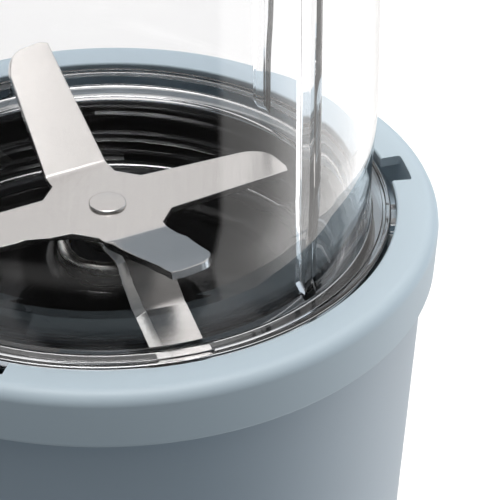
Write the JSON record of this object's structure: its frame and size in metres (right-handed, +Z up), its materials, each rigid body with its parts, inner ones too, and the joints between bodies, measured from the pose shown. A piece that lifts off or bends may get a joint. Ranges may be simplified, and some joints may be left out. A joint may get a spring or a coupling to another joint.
{
  "type": "countertop blender",
  "caption": "Personal countertop blender: tapered matte motor base with a bayonet collar, clear cup mouth down, screw-on blade unit with crossed steel blades.",
  "frame": {"origin": "centre of the underside of the feet, on the table", "axes": "+Z up along the common axis of base, cup and blades; the front faces -Y and the cord gland faces +Y"},
  "size_m": [0.116, 0.116, 0.315],
  "materials": {
    "base_shell": "fine matte",
    "collar_shell": "smooth satin",
    "dark_plastic": "matte",
    "foot_rubber": "matte",
    "screw_steel": "bright",
    "bracket_aluminium": "cast satin",
    "laminated_iron": "laminated",
    "copper_wire": "enamelled",
    "bearing_steel": "polished",
    "carbon": "matte",
    "spring_steel": "satin",
    "board_green": "satin",
    "wire_jacket": "satin",
    "white_plastic": "satin",
    "clear_cup": "clear and glossy",
    "black_gloss": "glossy",
    "seal_rubber": "satin",
    "bronze": "sintered",
    "blade_steel": "satin"
  },
  "bodies": {
    "base": {"housing": "base_shell", "top_collar": "collar_shell", "well_liner": "base_shell", "bottom_cover": "dark_plastic", "rubber_feet": "foot_rubber", "cover_screws": "screw_steel", "deck_screws": "screw_steel", "cord_gland": "foot_rubber", "upper_bracket": "bracket_aluminium", "lower_bracket": "bracket_aluminium", "mount_bushes": "foot_rubber", "motor_screws": "screw_steel", "motor_bolts": "screw_steel", "stator_core": "laminated_iron", "field_coils": "copper_wire", "upper_bearing": "bearing_steel", "lower_bearing": "bearing_steel", "brush_holders": "dark_plastic", "carbon_brushes": "carbon", "brush_springs": "spring_steel", "control_board": "board_green", "microswitches": "dark_plastic", "lead_wires": "wire_jacket", "plunger_spring_1": "spring_steel", "plunger_spring_2": "spring_steel", "plunger_spring_3": "spring_steel"},
    "plunger_a": {"plunger_1": "white_plastic"},
    "plunger_b": {"plunger_2": "white_plastic"},
    "plunger_c": {"plunger_3": "white_plastic"},
    "motor_rotor": {"motor_shaft": "bearing_steel", "armature_core": "laminated_iron", "armature_winding": "copper_wire", "commutator": "copper_wire", "cooling_fan": "dark_plastic", "drive_coupling": "foot_rubber"},
    "cup_unit": {"cup": "clear_cup", "blade_holder": "black_gloss", "sealing_gasket": "seal_rubber", "bearing_housing": "bearing_steel", "upper_bush": "bronze", "lower_bush": "bronze", "shaft_seal": "foot_rubber"},
    "blade_rotor": {"blade_shaft": "blade_steel", "upper_blade": "blade_steel", "lower_blade": "blade_steel", "blade_spacer": "screw_steel", "blade_washer": "screw_steel", "driven_coupling": "dark_plastic", "retaining_clip": "spring_steel"}
  },
  "joints": [
    {"name": "cup_twist", "type": "hinge", "parent": "base", "child": "cup_unit", "pos_m": [0, 0, 0.15], "axis": [0, 0, 1], "range_deg": [0, 13]},
    {"name": "motor_spin", "type": "hinge", "parent": "base", "child": "motor_rotor", "pos_m": [0, 0, 0.06], "axis": [0, 0, 1], "continuous": true},
    {"name": "blade_spin", "type": "hinge", "parent": "base", "child": "blade_rotor", "pos_m": [0, 0, 0.14], "axis": [0, 0, 1], "continuous": true},
    {"name": "plunger_slide_a", "type": "slide", "parent": "base", "child": "plunger_a", "axis": [0, 0, 1], "range_m": [0, 0.0015], "stiffness_N_per_m": 100, "springref_m": 0.0025, "deforming": ["plunger_spring_1"]},
    {"name": "plunger_slide_b", "type": "slide", "parent": "base", "child": "plunger_b", "axis": [0, 0, 1], "range_m": [0, 0.0015], "stiffness_N_per_m": 100, "springref_m": 0.0025, "deforming": ["plunger_spring_2"]},
    {"name": "plunger_slide_c", "type": "slide", "parent": "base", "child": "plunger_c", "axis": [0, 0, 1], "range_m": [0, 0.0015], "stiffness_N_per_m": 100, "springref_m": 0.0025, "deforming": ["plunger_spring_3"]}
  ],
  "couplings": [
    {"joint": "blade_spin", "follows": "motor_spin", "ratio": 1},
    {"joint": "plunger_slide_a", "follows": "cup_twist", "m_per_rad": 0.0066},
    {"joint": "plunger_slide_b", "follows": "cup_twist", "m_per_rad": 0.0066},
    {"joint": "plunger_slide_c", "follows": "cup_twist", "m_per_rad": 0.0066}
  ]
}
